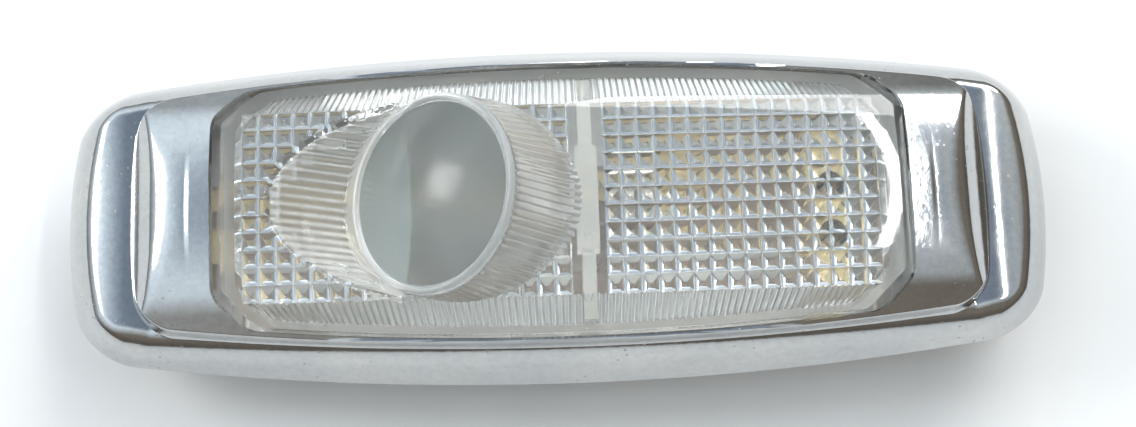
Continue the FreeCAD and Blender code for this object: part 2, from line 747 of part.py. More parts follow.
def rivet_bores(body, bottom, depth):
    """Bores for the rivets through a flat piece, from its underside up."""
    inside = [(x, y, "rivet_radius + rivet_clearance") for x, y in rivet_places]
    if body is feed:
        inside = inside[:1]
    if body is door:
        inside = inside[1:]
    bores = sketch(body, body.Name + "_bores", "XY_Plane", circles=inside, lift=bottom)
    pocket(body, bores, depth, backwards=True)


# Feed and door tracks: brass strips on the board, each ending outside in a push-on blade
blade_end = "(strip_left + sheet)"
blade_root = "(strip_left + sheet - blade_length)"
blade_near = "(blade_gap / 2)"
blade_far = "(blade_gap / 2 + blade_width)"
feed = new_body("terminal_feed")
feed_outline = sketch(feed, "feed_outline", "XY_Plane", [[
    (minus(blade_end), minus(blade_far)), (minus(blade_root), minus(blade_far)),
    (minus(blade_root), "-clip_width / 2"), (clip_left_x, "-clip_width / 2"),
    (clip_left_x, "door_track / 2"), (minus(blade_root), "door_track / 2"),
    (minus(blade_root), minus(blade_near)), (minus(blade_end), minus(blade_near))]], lift=strip_top)
pad(feed, feed_outline, "blade_wall")
door = new_body("terminal_door")
track_near = "(%s - door_track / 2)" % door_y
track_far = "(%s + door_track / 2)" % door_y
door_end = "(bridge_x + stud_foot)"
pad_end = "(%s + clip_foot)" % clip_right_x
door_outline = sketch(door, "door_outline", "XY_Plane", [[
    (minus(blade_end), blade_near), (minus(blade_root), blade_near), (minus(blade_root), track_near),
    (clip_right_x, track_near), (clip_right_x, "-clip_width / 2"), (pad_end, "-clip_width / 2"),
    (pad_end, track_near), (door_end, track_near), (door_end, track_far), (minus(blade_root), track_far),
    (minus(blade_root), blade_far), (minus(blade_end), blade_far)]], lift=strip_top)
pad(door, door_outline, "blade_wall")
rivet_bores(strip, floor_top, "strip_wall")
rivet_bores(feed, strip_top, "blade_wall")
rivet_bores(door, strip_top, "blade_wall")


# Bulb clips: bent spring-brass strips, each with a hole that takes the cone of a bulb cap
def bulb_clip(name, x, turn):
    body = new_body(name)
    rise = "(bulb_height + clip_rise - %s)" % track_top
    side = sketch(body, name + "_side", "XZ_Plane", [[
        ("0", "0"), ("clip_foot", "0"), ("clip_foot", "clip_wall"), ("clip_wall", "clip_wall"),
        ("clip_wall", rise), ("0", rise)]], lift="-clip_width / 2")
    pad(body, side, "clip_width")
    seat = sketch(body, name + "_seat", "YZ_Plane", circles=[
        ("0", "bulb_height - %s" % track_top, "(cap_radius + cone_tip) / 2 + cap_clearance")])
    pocket(body, seat)
    bore = sketch(body, name + "_bore", "XY_Plane",
                  circles=[("clip_foot / 2", "0", "rivet_radius + rivet_clearance")], lift="clip_wall")
    pocket(body, bore, "2 * clip_wall")
    place(body, x, "0", track_top, turn)
    return body


clip_left = bulb_clip("bulb_clip_left", clip_left_x, 180)
clip_right = bulb_clip("bulb_clip_right", clip_right_x, 0)


# Rivets through board, track and clip foot
def rivet(name, x, y):
    body = new_body(name)
    stem = "(strip_wall + blade_wall + clip_wall)"
    drawing = sketch(body, name + "_profile", "XZ_Plane", [[
        ("0", "0"), ("rivet_radius", "0"), ("rivet_radius", stem), ("rivet_head", stem),
        ("0", "%s + rivet_head_height" % stem)]])
    revolve(body, drawing, "V_Axis")
    place(body, x, y, floor_top)
    return body


rivets = group("clip_rivets", *[
    rivet("clip_rivet_%d" % number, x, y) for number, (x, y) in enumerate(rivet_places, start=1)])


# Switch: two brass studs that the bridge under the lens meets when the right end is pressed
def contact_stud(name, y, bottom):
    body = new_body(name)
    height = "(%s - %s)" % (stud_top, bottom)
    drawing = sketch(body, name + "_profile", "XZ_Plane", [[
        ("0", "0"), ("stud_foot", "0"), ("stud_foot", "stud_foot_height"),
        ("stud_radius", "stud_foot_height"), ("stud_radius", "%s - stud_radius / 2" % height,
                                              arc_radius("stud_radius", "stud_radius / 2")),
        ("0", height)]])
    revolve(body, drawing, "V_Axis")
    place(body, "bridge_x", y, bottom)
    return body


stud_door = contact_stud("contact_stud_door", door_y, track_top)
stud_earth = contact_stud("contact_stud_earth", "earth_y", floor_top)

bridge = new_body("contact_bridge")
bridge_half = "((%s - earth_y) / 2 + bridge_end)" % door_y
bridge_plan = sketch(bridge, "bridge_plan", "XY_Plane", [rectangle(
    "-bridge_width / 2", minus(bridge_half), "bridge_width / 2", bridge_half)])
pad(bridge, bridge_plan, "bridge_wall")
bridge_bores = sketch(bridge, "bridge_bores", "XY_Plane", circles=[
    ("0", "%s * peg_spacing / 2" % side, "peg_radius + peg_clearance") for side in (-1, 1)],
    lift="bridge_wall")
pocket(bridge, bridge_bores, "2 * bridge_wall")
place(bridge, "bridge_x", bridge_y, bridge_bottom)


# Festoon bulb: a glass tube with a metal cap at each end and one straight filament
def bulb_turning(name, corners):
    body = new_body(name)
    drawing = sketch(body, name + "_profile", "XZ_Plane", [corners])
    revolve(body, drawing, "H_Axis")
    return body


glass_x = "(glass_length / 2)"
neck_x = "(glass_length / 2 - cap_overlap - cap_clearance)"
barrel_x = "(glass_length / 2 - cap_overlap - cap_clearance - neck_length)"
glass_half = [(glass_x, "neck_radius"), (neck_x, "neck_radius"), (barrel_x, "glass_radius")]
glass_outside = glass_half + [(minus(x), radius) for x, radius in reversed(glass_half)]
glass_inside = [(x, "%s - glass_wall" % radius) for x, radius in reversed(glass_outside)]
glass = bulb_turning("bulb_glass", glass_outside + glass_inside)
place(glass, "bulb_x", "0", "bulb_height")


def bulb_cap(name, turn):
    """Cup that takes the neck of the glass and ends in a cone."""
    body = bulb_turning(name, [
        ("%s - cap_overlap" % glass_x, "neck_radius + cap_clearance"),
        ("bulb_length / 2 - 2 * cone_length", "neck_radius + cap_clearance"),
        ("bulb_length / 2 - 2 * cone_length", "0"), ("bulb_length / 2", "0"),
        ("bulb_length / 2", "cone_tip"), ("bulb_length / 2 - cone_length", "cap_radius"),
        ("%s - cap_overlap" % glass_x, "cap_radius")])
    place(body, "bulb_x", "0", "bulb_height", turn)
    return body


cap_left = bulb_cap("bulb_cap_left", 180)
cap_right = bulb_cap("bulb_cap_right", 0)
wire_x = "(bulb_length / 2 - 2 * cone_length)"
filament = bulb_turning("bulb_filament", [
    (minus(wire_x), "0"), (wire_x, "0"), (wire_x, "filament_radius"), (minus(wire_x), "filament_radius")])
place(filament, "bulb_x", "0", "bulb_height")


# Screws from behind through the flange into the bezel's bosses
def bezel_screw(name, x, y):
    body = new_body(name)
    drawing = sketch(body, name + "_profile", "XZ_Plane", [[
        ("0", "-screw_head_height"), ("screw_head_radius - screw_head_height / 2", "-screw_head_height"),
        ("screw_head_radius", "0"), ("screw_radius", "0"), ("screw_radius", "screw_reach"),
        ("0", "screw_reach + screw_radius / 2")]])
    revolve(body, drawing, "V_Axis")
    slot = sketch(body, name + "_slot", "XZ_Plane", [rectangle(
        "-screw_slot / 2", "-screw_head_height", "screw_slot / 2", "-screw_head_height / 2")])
    pocket(body, slot)
    place(body, x, y, "base_depth - sheet")
    return body


screws = group("bezel_screws", *[
    bezel_screw("bezel_screw_%d" % number, x, y) for number, (x, y) in enumerate(boss_places, start=1)])

# Write the sub-parts
pieces = [bezel, lens, tray, strip, feed, door, clip_left, clip_right, rivets, stud_door, stud_earth,
          bridge, glass, cap_left, cap_right, filament, screws]
doc.recompute()
for item in doc.Objects:
    if "Invalid" in item.State or "Error" in item.State:
        raise ValueError("%s could not be built: %s" % (item.Name, item.State))
for piece in pieces:
    if piece.Shape.isNull() or not piece.Shape.isValid():
        raise ValueError(piece.Label + " has no valid shape")

os.makedirs("parts", exist_ok=True)
for piece in pieces:
    piece.Shape.exportStep("parts/%s.step" % piece.Label)
    box = piece.Shape.BoundBox
    print("%-20s solids %d volume %9.1f x %6.1f %6.1f y %6.1f %6.1f z %6.1f %6.1f" % (
        piece.Label, len(piece.Shape.Solids), piece.Shape.Volume, box.XMin, box.XMax, box.YMin, box.YMax,
        box.ZMin, box.ZMax))
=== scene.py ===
import math

import bpy
import numpy as np
from mathutils import Matrix, Vector


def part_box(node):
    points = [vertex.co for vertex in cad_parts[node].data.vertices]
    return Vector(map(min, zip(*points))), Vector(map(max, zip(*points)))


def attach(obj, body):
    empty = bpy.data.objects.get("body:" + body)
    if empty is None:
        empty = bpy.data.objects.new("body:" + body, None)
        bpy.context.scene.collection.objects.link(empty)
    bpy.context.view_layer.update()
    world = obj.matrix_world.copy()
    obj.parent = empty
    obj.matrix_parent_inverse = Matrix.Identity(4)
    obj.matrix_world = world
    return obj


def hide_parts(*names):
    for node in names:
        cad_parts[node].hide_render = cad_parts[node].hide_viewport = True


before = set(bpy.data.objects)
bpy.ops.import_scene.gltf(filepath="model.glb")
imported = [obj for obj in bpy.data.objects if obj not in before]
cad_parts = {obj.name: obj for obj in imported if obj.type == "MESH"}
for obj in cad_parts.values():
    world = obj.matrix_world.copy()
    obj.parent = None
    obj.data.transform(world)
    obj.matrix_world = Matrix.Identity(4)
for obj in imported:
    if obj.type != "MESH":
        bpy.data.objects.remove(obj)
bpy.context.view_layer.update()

# Bezel: a zinc die casting, polished and chromium plated, with a bevelled rim, a ledge at each end and
# two rolled cheeks beside the window. Four screws from behind hold it on the tray.
MM = 0.001
bezel_low, bezel_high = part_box("bezel")
rim_z = bezel_low[2] / MM
half_length = bezel_high[0] / MM
half_width = bezel_high[1] / MM
half_end = 18.4
end_bow = 2.7
corner_radius = 6.0
rim_slope = math.radians(25.0)
roof_z = rim_z + 9.0
rim_round = 4.2
hair_gap = 0.02
ledge_crest = 60.6
ledge_radius = 16.0
ledge_reach = 5.0
crown_radius = 600.0
bar_half_length = 58.2
bar_half_width = 20.0
bar_half_end = 16.0
bar_bow = 1.2
bar_corner = 5.0
bar_foot_z = rim_z + 4.0
bar_slope = math.radians(8.0)
face_z = rim_z + 14.4
face_radius = 45.0
dome_reach = 0.9 * face_radius
above_face = face_z + 1.0
face_half_width = 13.1
shoulder_slope = math.radians(30.0)
shoulder_round = 0.35
lip_drop = 4.75
roll_start = 49.5
roll_radius = 9.0
roll_reach = 0.98 * roll_radius
roll_round = 0.8
riser_x = 55.9
riser_z = face_z - 4.9
riser_fall = 1.35
crease_round = 0.9
window_half_length = 46.3
window_half_width = 18.6
window_bow = 2.25
window_chamfer = 4.2
window_edge = 0.35
window_end_round = 0.6
window_corner_round = 1.2
rim_wall = 3.6
ceiling_z = rim_z + 4.0
bezel_rays = 880
rim_steps = 36
wall_depths = (0.0, 0.3, 0.5, 0.62, 0.7, 0.78, 0.86, 0.94, 1.02, 1.1, 1.18, 1.26, 1.36, 1.5, 1.7, 2.0)
wall_share = 0.95
cheek_steps = 34
bezel_crease_angle = 38
search_from, search_to, halvings = 0.3, 1.6, 40
plate_dull = (0.52, 0.53, 0.54)
plate_bright = (0.62, 0.62, 0.61)
pit_colour = (0.4, 0.38, 0.35, 1)


def soft_min(a, b, blend):
    """The lower of two heights, rounded over where they cross."""
    share = np.clip(0.5 + 0.5 * (b - a) / blend, 0.0, 1.0)
    return b * (1 - share) + a * share - blend * share * (1 - share)


def soft_max(a, b, blend):
    return -soft_min(-a, -b, blend)


def boat_inset(x, y, length, width, end, bow, corner):
    """Distance in from a boat-shaped outline of two bowed sides and two bowed ends."""
    straight = length - bow
    end_arc = (end ** 2 + bow ** 2) / (2 * bow)
    rise = width - end
    side_arc = (straight ** 2 + rise ** 2) / (2 * rise)
    from_side = side_arc - np.hypot(x, np.abs(y) - (width - side_arc))
    from_end = end_arc - np.hypot(np.abs(x) - (length - end_arc), y)
    rounded = corner - np.hypot(corner - from_side, corner - from_end)
    in_corner = (from_side < corner) & (from_end < corner)
    return np.where(in_corner, rounded, np.minimum(from_side, from_end))


def window_inset(x, y):
    """Distance in from the window's edge, bowed at the sides and cut off at the corners."""
    straight = window_half_length - window_chamfer
    side_arc = (straight ** 2 + window_bow ** 2) / (2 * window_bow)
    from_side = side_arc - np.hypot(x, np.abs(y) - (window_half_width - side_arc))
    from_end = window_half_length - np.abs(x)
    reach = straight + window_half_width - window_bow
    from_corner = (reach - np.abs(x) - np.abs(y)) / math.sqrt(2)
    return soft_min(soft_min(from_side, from_end, window_end_round), from_corner, window_corner_round)


def crown_drop(x):
    return crown_radius - np.sqrt(crown_radius ** 2 - x ** 2)


def face_at(x, y):
    """Height of the crowned face that the lens and the cheeks share."""
    edge = face_z - face_radius + math.sqrt(face_radius ** 2 - face_half_width ** 2)
    across = np.minimum(np.abs(y), dome_reach)
    dome = face_z - face_radius + np.sqrt(face_radius ** 2 - across ** 2)
    shoulder = edge - (np.abs(y) - face_half_width) * math.tan(shoulder_slope)
    return soft_min(dome, shoulder, shoulder_round) - crown_drop(x)


def outer_inset(x, y):
    return boat_inset(x, y, half_length, half_width, half_end, end_bow, corner_radius)


def bar_inset(x, y):
    return boat_inset(x, y, bar_half_length, bar_half_width, bar_half_end, bar_bow, bar_corner)


def bezel_at(x, y):
    """Height of the bezel's outside."""
    off_crest = np.clip(np.abs(x) - ledge_crest, -ledge_reach, ledge_reach)
    ledge = roof_z - crown_drop(x) - off_crest ** 2 / (2 * ledge_radius)
    rim = soft_min(rim_z + outer_inset(x, y) / math.tan(rim_slope), ledge, rim_round)
    wall = bar_foot_z + bar_inset(x, y) / math.tan(bar_slope)
    lip = face_z - lip_drop - crown_drop(x)
    past = np.clip(np.abs(x) - roll_start, 0.0, roll_reach)
    roll = face_z - crown_drop(roll_start) - roll_radius + np.sqrt(roll_radius ** 2 - past ** 2)
    roll = np.where(np.abs(x) > roll_start, roll, above_face)
    riser = riser_z - (np.abs(x) - riser_x) * riser_fall
    cheek = soft_min(np.maximum(face_at(x, y), lip), roll, roll_round)
    cheek = soft_min(soft_min(cheek, riser, crease_round), wall, crease_round)
    return soft_max(rim, cheek, crease_round)


def edge_along(angles, reach_x, reach_y, inset_of):
    """Points where an inset falls to nought, along directions out of the middle."""
    step_x = reach_x * np.cos(angles)
    step_y = reach_y * np.sin(angles)
    low = np.full(angles.shape, search_from)
    high = np.full(angles.shape, search_to)
    for _ in range(halvings):
        middle = (low + high) / 2
        inside = inset_of(middle * step_x, middle * step_y) > 0
        low = np.where(inside, middle, low)
        high = np.where(inside, high, middle)
    return low * step_x, low * step_y


def even_angles(count, reach_x, reach_y, inset_of):
    """Directions that space the points evenly along an outline."""
    fine = np.linspace(0.0, 2 * math.pi, 8 * count + 1)
    x, y = edge_along(fine, reach_x, reach_y, inset_of)
    run = np.concatenate(([0.0], np.cumsum(np.hypot(np.diff(x), np.diff(y)))))
    return np.interp(np.linspace(0.0, run[-1], count, endpoint=False), run, fine)


def build_mesh(name, points, faces, smooth_below=None):
    """A mesh object from points in millimetres, smooth where faces meet at less than an angle."""
    mesh = bpy.data.meshes.new(name)
    mesh.from_pydata((np.asarray(points) * MM).tolist(), [], faces)
    mesh.validate()
    mesh.update()
    if smooth_below is not None:
        mesh.shade_smooth()
        mesh.set_sharp_from_angle(angle=math.radians(smooth_below))
    piece = bpy.data.objects.new(name, mesh)
    bpy.context.scene.collection.objects.link(piece)
    return piece


def ring_faces(rings, rays, first=0, closed=False):
    """Faces between rings of points that each go once round."""
    faces = []
    for ring in range(rings if closed else rings - 1):
        near = first + ring * rays
        far = first + (ring + 1) % rings * rays
        for ray in range(rays):
            following = (ray + 1) % rays
            faces.append((near + ray, near + following, far + following, far + ray))
    return faces


rays = even_angles(bezel_rays, half_length, half_width, outer_inset)
rim_x, rim_y = edge_along(rays, half_length, half_width, outer_inset)
sill_x, sill_y = edge_along(rays, window_half_length, window_half_width, window_inset)
push = 1 + window_edge / np.hypot(sill_x, sill_y)
sill_depth = bar_inset(sill_x * push, sill_y * push)
squeeze = np.minimum(1.0, wall_share * sill_depth / wall_depths[-1])
outlines = [(rim_x, rim_y)]
for depth in wall_depths:
    outlines.append(edge_along(rays, bar_half_length, bar_half_width,
                               lambda x, y: bar_inset(x, y) - depth * squeeze))
outlines.append((sill_x * push, sill_y * push))
rings = [np.column_stack((rim_x, rim_y, np.full(bezel_rays, rim_z)))]
steps_between = (rim_steps, *[1] * (len(wall_depths) - 1), cheek_steps)
for here, beyond, steps in zip(outlines, outlines[1:], steps_between):
    for step in range(1, steps + 1):
        x = here[0] + (beyond[0] - here[0]) * step / steps
        y = here[1] + (beyond[1] - here[1]) * step / steps
        rings.append(np.column_stack((x, y, np.maximum(bezel_at(x, y), rim_z + hair_gap))))
sill_z = rings[-1][:, 2].copy()
rings.append(np.column_stack((sill_x, sill_y, sill_z - window_edge)))
rings.append(np.column_stack((sill_x, sill_y, np.full(bezel_rays, ceiling_z))))
hollow_x = rim_x - rim_wall * np.sign(rim_x) * np.minimum(1.0, np.abs(rim_x) / half_width)
hollow_y = rim_y * (1 - rim_wall / half_width)
rings.append(np.column_stack((hollow_x, hollow_y, np.full(bezel_rays, ceiling_z))))
rings.append(np.column_stack((hollow_x, hollow_y, np.full(bezel_rays, rim_z))))
bezel = build_mesh("bezel_casting", np.concatenate(rings),
                   ring_faces(len(rings), bezel_rays, closed=True), smooth_below=bezel_crease_angle)


def start_material(name):
    """A node material, its node tree and its shader."""
    material = bpy.data.materials.new(name)
    material.use_nodes = True
    tree = material.node_tree
    return material, tree, tree.nodes["Principled BSDF"]


def add_node(tree, kind, **values):
    """A node with its properties and input sockets set by name."""
    node = tree.nodes.new(kind)
    for key, value in values.items():
        if hasattr(node, key):
            setattr(node, key, value)
        else:
            node.inputs[key.replace("_", " ").title()].default_value = value
    return node


def ramp(tree, source, low, high, first, last):
    """Colours between two values of a source socket."""
    node = tree.nodes.new("ShaderNodeValToRGB")
    node.color_ramp.elements[0].position = low
    node.color_ramp.elements[1].position = high
    node.color_ramp.elements[0].color = (*first, 1)
    node.color_ramp.elements[1].color = (*last, 1)
    tree.links.new(source, node.inputs["Fac"])
    return node.outputs["Color"]


def object_point(tree):
    return tree.nodes.new("ShaderNodeTexCoord").outputs["Object"]


def noise(tree, point, scale, detail=4.0, roughness=0.55):
    node = add_node(tree, "ShaderNodeTexNoise", scale=scale, detail=detail, roughness=roughness)
    tree.links.new(point, node.inputs["Vector"])
    return node.outputs["Fac"]


def specks(tree, point, scale):
    """Distance from scattered points, for pits and grains."""
    node = add_node(tree, "ShaderNodeTexVoronoi", scale=scale)
    tree.links.new(point, node.inputs["Vector"])
    return node.outputs["Distance"]


def bump(tree, shader, height, strength, distance):
    node = add_node(tree, "ShaderNodeBump", strength=strength, distance=distance)
    tree.links.new(height, node.inputs["Height"])
    tree.links.new(node.outputs["Normal"], shader.inputs["Normal"])


def mix_colours(tree, share, first, second, blend="MIX"):
    node = tree.nodes.new("ShaderNodeMix")
    node.data_type = "RGBA"
    node.blend_type = blend
    for socket, source in ((node.inputs[0], share), (node.inputs[6], first), (node.inputs[7], second)):
        if isinstance(source, bpy.types.NodeSocket):
            tree.links.new(source, socket)
        else:
            socket.default_value = source
    return node.outputs[2]


def chrome_plate():
    """Bright plate with a thin haze, fine scratches and scattered pits."""
    material, tree, shader = start_material("chrome_plate")
    shader.inputs["Metallic"].default_value = 1.0
    point = object_point(tree)
    haze = noise(tree, point, 55.0, 6.0)
    plate = ramp(tree, haze, 0.35, 0.75, plate_dull, plate_bright)
    mottle = ramp(tree, noise(tree, point, 950.0, 6.0, 0.7), 0.32, 0.68, (0.86, 0.86, 0.86), (1, 1, 1))
    plate = mix_colours(tree, 1.0, plate, mottle, "MULTIPLY")
    pits = ramp(tree, specks(tree, point, 760.0), 0.07, 0.18, (1, 1, 1), (0, 0, 0))
    worn = ramp(tree, noise(tree, point, 120.0, 3.0), 0.45, 0.62, (0, 0, 0), (1, 1, 1))
    pitted = mix_colours(tree, 1.0, pits, worn, "MULTIPLY")
    colour = mix_colours(tree, pitted, plate, pit_colour)
    tree.links.new(colour, shader.inputs["Base Color"])
    rough = ramp(tree, haze, 0.3, 0.8, (0.08, 0.08, 0.08), (0.17, 0.17, 0.17))
    rough = mix_colours(tree, pitted, rough, (0.45, 0.45, 0.45, 1))
    tree.links.new(rough, shader.inputs["Roughness"])
    grain = noise(tree, point, 900.0, 2.0)
    bump(tree, shader, mix_colours(tree, pitted, grain, (0, 0, 0, 1)), 0.06, 0.0002)
    return material


bezel.data.materials.append(chrome_plate())
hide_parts("bezel")
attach(bezel, "housing")

# Lens: one clear acrylic moulding that rocks on two trunnions at its web. Its face is crowned, its long
# shoulders are fluted, its inside is a field of pyramid prisms, and a ribbed scoop runs up to the
# bull's-eye.
lens_half_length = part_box("lens")[1][0] / MM
lens_half_width = 18.2
lens_wall = 2.0
skirt_wall = 1.8
corner_gap = 1.5
corner_round = 0.8
skirt_z = rim_z + 3.8
flute_pitch = 0.9
flute_depth = 0.34
points_per_flute = 12
end_points = 59
eye_x = -17.2
eye_z = rim_z + 15.0
eye_tilt = math.radians(36.0)
eye_radius = 12.3
eye_sag = 3.4
eye_depth = 1.6
bead_profile = ((12.34, -0.25), (12.5, -0.25), (12.58, 0.1), (12.75, 0.32), (13.0, 0.4),
                (13.25, 0.32), (13.42, 0.1), (13.5, -0.25), (13.54, -0.7))
collar_radius = 13.5
collar_wall = 0.9
collar_top = 0.75
collar_shortest = 0.8
collar_longest = 15.0
collar_overlap = 0.25
collar_sink = 0.35
collar_steps = 16
collar_draft = math.tan(math.radians(6.0))
collar_ribs = 84
collar_rib_depth = 0.12
collar_rib_start = 0.9
collar_rib_fade = 0.5
bore_rib_depth = 0.34
bore_margin = 0.3
back_shares = (0.02, 0.35, 0.7, 1.0)
scoop_radius = 14.2
scoop_tilt = math.radians(55.0)
scoop_rib_pitch = 1.25
scoop_rib_depth = 0.42
scoop_edge = 0.2
scoop_round = 0.3
scoop_side = scoop_radius - 0.1
prism_pitch = 2.3
prism_rows = 11
prism_columns = 37
prism_depth = 1.1
prism_flat = 0.3
prism_z = rim_z + 8.8
web_x = 3.4
web_half = 0.9
web_notch = 6.8
web_block_half = 1.5
web_block_depth = 2.4
web_margin = 0.85
web_end_gap = 0.3
lug_half = 2.2
lug_z = rim_z + 0.6
lug_inset = 0.1
pin_z = rim_z + 2.6
pin_radius = 1.45
pin_reach = 1.45
peg_spread = 3.2
peg_radius = 1.9
tip_radius = 1.1
tip_drop = 0.6
tip_length = 1.2
rod_sides = 24
scoop_zone = (-lens_half_length, web_x + 0.6, 206, 151)
plain_zone = (web_x + 0.6, lens_half_length, 70, 51)
eye_rays = 420
eye_rings = 22
shell_columns = 100
shell_rows = 190
lens_crease_angle = 50
acrylic_ior = 1.49
lamp_light_share = 0.88


def lens_half_at(x):
    """Half the lens's width along its length, bowed and cut off at the corners."""
    straight = window_half_length - window_chamfer
    side_arc = (straight ** 2 + window_bow ** 2) / (2 * window_bow)
    bowed = lens_half_width - side_arc + np.sqrt(side_arc ** 2 - x ** 2)
    cut = lens_half_width - window_bow + straight - corner_gap - np.abs(x)
    return soft_min(bowed, cut, corner_round)


def disc_plane(x):
    return eye_z + (x - eye_x) * math.tan(eye_tilt)


def scoop_at(x, y, ribbed=True):
    """Height of the scoop's floor, a slanted round trough with ribs along it."""
    inside = np.clip(np.abs(y) / scoop_radius, 0.0, 1.0)
    around = np.arcsin(inside) * scoop_radius
    radius = scoop_radius
    if ribbed:
        wave = 0.5 + 0.5 * np.cos(2 * math.pi * around / scoop_rib_pitch)
        radius = scoop_radius - scoop_rib_depth * wave
    half_chord = np.sqrt(np.maximum(radius ** 2 - y ** 2, 0.0))
    trough = eye_z - (half_chord + (x - eye_x) * math.cos(scoop_tilt)) / math.sin(scoop_tilt)
    floor = np.maximum(trough, disc_plane(x))
    return np.where(np.abs(y) < scoop_side, floor, above_face)


def lens_top(x, y, ribbed=True):
    """Height of the lens's outside, without the collar."""
    return soft_min(face_at(x, y), scoop_at(x, y, ribbed), scoop_round)


def eye_point(radius, angle, height):
    """Point of the bull's-eye from its own radius, angle and height before the disc."""
    along = radius * np.cos(angle)
    x = eye_x + along * math.cos(eye_tilt) - height * math.sin(eye_tilt)
    z = eye_z + along * math.sin(eye_tilt) + height * math.cos(eye_tilt)
    return np.stack(np.broadcast_arrays(x, radius * np.sin(angle), z), axis=-1)


def eye_depth_at(x, z):
    return (x - eye_x) * math.sin(eye_tilt) - (z - eye_z) * math.cos(eye_tilt)


def eye_radius_at(x, y, z):
    along = (x - eye_x) * math.cos(eye_tilt) + (z - eye_z) * math.sin(eye_tilt)
    return np.hypot(along, y)


points = []
faces = []
finish = []
clear, eye_back_painted_shade, ribbed_satin, prism_faces, eye_face, eye_bead = range(6)


def add_points(block):
    """Append points and say where they start."""
    start = sum(len(part) for part in points)
    points.append(np.asarray(block, dtype=float).reshape(-1, 3))
    return start


def set_finish(slot):
    """Give every face added since the last call one finish."""
    finish.extend([slot] * (len(faces) - len(finish)))


for low, high, columns, rows in (scoop_zone, plain_zone):
    shares = np.linspace(-1.0, 1.0, rows)
    grid_x, grid_share = np.meshgrid(np.linspace(low, high, columns), shares, indexing="ij")
    grid_y = grid_share * lens_half_at(grid_x)
    grid_z = lens_top(grid_x, grid_y, False)
    start = add_points(np.stack((grid_x, grid_y, grid_z), axis=-1))
    depth = eye_depth_at(grid_x, grid_z)
    reach = collar_radius - collar_overlap + np.maximum(depth, 0) * collar_draft
    in_collar = (eye_radius_at(grid_x, grid_y, grid_z) < reach) & (depth > -0.2)
    for column in range(columns - 1):
        for row in range(rows - 1):
            if in_collar[column:column + 2, row:row + 2].all():
                continue
            corner = start + column * rows + row
            faces.append((corner, corner + rows, corner + rows + 1, corner + 1))

side_points = 2 * round(points_per_flute / 2 * lens_half_length / flute_pitch) + 1
side_x = np.linspace(-lens_half_length, lens_half_length, side_points)
side_y = lens_half_at(side_x)
end_x = np.full(end_points, lens_half_length)
end_y = np.linspace(-side_y[0], side_y[0], end_points + 2)[1:-1]
edge_x = np.concatenate((side_x, end_x, side_x[::-1], -end_x))
edge_y = np.concatenate((-side_y, end_y, side_y, end_y[::-1]))
edge = np.column_stack((edge_x, edge_y, lens_top(edge_x, edge_y)))
prism_half_x = prism_columns * prism_pitch / 2
prism_half_y = prism_rows * prism_pitch / 2
inset_x = edge_x * (1 - skirt_wall / lens_half_length)
inset_y = edge_y * (1 - skirt_wall / lens_half_width)
skirt_bottom = np.full(len(edge), skirt_z)
fluted = np.abs(edge_x) < prism_half_x
inner_flutes = flute_depth * fluted * np.cos(2 * math.pi * edge_x / flute_pitch)
inner_z = np.minimum(edge[:, 2], face_at(inset_x, inset_y)) - lens_wall
skirt = [edge,
         np.column_stack((edge_x, edge_y, skirt_bottom)),
         np.column_stack((inset_x, inset_y, skirt_bottom)),
         np.column_stack((inset_x, inset_y, inner_z + inner_flutes)),
         np.column_stack((np.clip(edge_x, -prism_half_x, prism_half_x),
                          np.clip(edge_y, -prism_half_y, prism_half_y), prism_z + inner_flutes))]
set_finish(clear)
start = add_points(np.concatenate(skirt))
faces += [tuple(reversed(face)) for face in ring_faces(2, len(edge), start)]
set_finish(clear)
faces += [tuple(reversed(face)) for face in ring_faces(3, len(edge), start + len(edge))]
set_finish(ribbed_satin)
faces += [tuple(reversed(face)) for face in ring_faces(2, len(edge), start + 3 * len(edge))]
set_finish(prism_faces)

angles = np.linspace(0.0, 2 * math.pi, eye_rays, endpoint=False)
cap_radius = (eye_radius ** 2 + eye_sag ** 2) / (2 * eye_sag)
collar_rings = []
for ring in range(1, eye_rings + 1):
    radius = eye_radius * ring / eye_rings
    height = eye_sag - cap_radius + math.sqrt(cap_radius ** 2 - radius ** 2)
    collar_rings.append(eye_point(radius, angles, height))
for radius, height in bead_profile:
    collar_rings.append(eye_point(radius, angles, height))
reach_low = np.full(eye_rays, collar_shortest)
reach_high = np.full(eye_rays, collar_longest)
for _ in range(halvings):
    middle = (reach_low + reach_high) / 2
    wall = eye_point(collar_radius + middle * collar_draft, angles, -middle)
    above = wall[:, 2] > lens_top(wall[:, 0], wall[:, 1], False) - collar_sink
    reach_low = np.where(above, middle, reach_low)
    reach_high = np.where(above, reach_high, middle)
rib_wave = 0.5 + 0.5 * np.cos(collar_ribs * angles)
for step in np.linspace(0.0, 1.0, collar_steps):
    drop = collar_top + (reach_low - collar_top) * step
    cut = collar_rib_depth * rib_wave * np.clip((drop - collar_rib_start) / collar_rib_fade, 0.0, 1.0)
    collar_rings.append(eye_point(collar_radius + drop * collar_draft - cut, angles, -drop))
start = add_points(np.concatenate(collar_rings))
apex = add_points([eye_point(0.0, 0.0, eye_sag)])
faces += [(apex, start + ray, start + (ray + 1) % eye_rays) for ray in range(eye_rays)]
bead_end = eye_rings + len(bead_profile) - 1
for first, last, slot in ((0, eye_rings, eye_face), (eye_rings - 1, bead_end, eye_bead),
                          (bead_end - 1, len(collar_rings), clear)):
    band = ring_faces(last - first, eye_rays, start + first * eye_rays)
    faces += [tuple(reversed(face)) for face in band]
    set_finish(slot)
smooth_runs = [(0, len(faces))]

